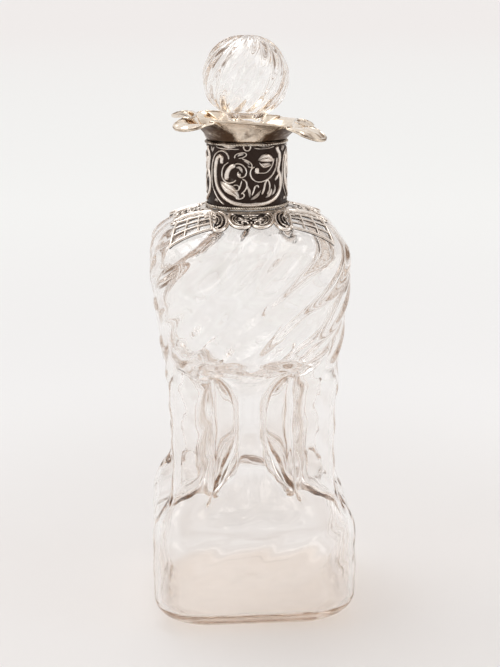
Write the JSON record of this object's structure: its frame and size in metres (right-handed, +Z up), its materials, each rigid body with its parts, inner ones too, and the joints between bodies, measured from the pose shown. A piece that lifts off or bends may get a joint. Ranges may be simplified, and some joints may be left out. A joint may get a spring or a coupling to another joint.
{
  "type": "glug glug decanter",
  "caption": "Square ribbed glass decanter pinched at the waist into corner tubes and a centre tube, with a silver collar, spouted lip and ball stopper.",
  "frame": {"origin": "middle of the foot, on the surface it stands on", "axes": "+Z up along the bottle's axis, -Y the front side, +X to the right seen from the front"},
  "size_m": [0.0946, 0.0946, 0.2682],
  "materials": {
    "bottle_glass": "clear blown glass with a faint warm tint",
    "stopper_glass": "clear blown glass, the peg ground",
    "polished_silver": "polished silver, lightly warm",
    "chased_silver": "embossed and pierced silver with darkened hollows",
    "plaster": "dry plaster of Paris bedding"
  },
  "bodies": {
    "decanter": {"cartouche_back": "chased_silver", "cartouche_front": "chased_silver", "cartouche_left": "chased_silver", "cartouche_right": "chased_silver", "collar_base_wire": "polished_silver", "collar_top_wire": "polished_silver", "glass_body": "bottle_glass", "leaf_spray_back_left": "chased_silver", "leaf_spray_back_right": "chased_silver", "leaf_spray_front_left": "chased_silver", "leaf_spray_front_right": "chased_silver", "neck_collar": "chased_silver", "plaster_bedding": "plaster", "pouring_lip": "polished_silver", "scroll_back_left": "chased_silver", "scroll_back_right": "chased_silver", "scroll_front_left": "chased_silver", "scroll_front_right": "chased_silver", "scroll_left_left": "chased_silver", "scroll_left_right": "chased_silver", "scroll_right_left": "chased_silver", "scroll_right_right": "chased_silver", "shoulder_flange": "chased_silver", "trellis_back_left": "chased_silver", "trellis_back_right": "chased_silver", "trellis_front_left": "chased_silver", "trellis_front_right": "chased_silver"},
    "stopper": {"stopper": "stopper_glass"}
  },
  "joints": [
    {"name": "stopper_lift", "type": "slide", "parent": "decanter", "child": "stopper", "axis": [0, 0, 1], "range_m": [0, 0.045]}
  ]
}
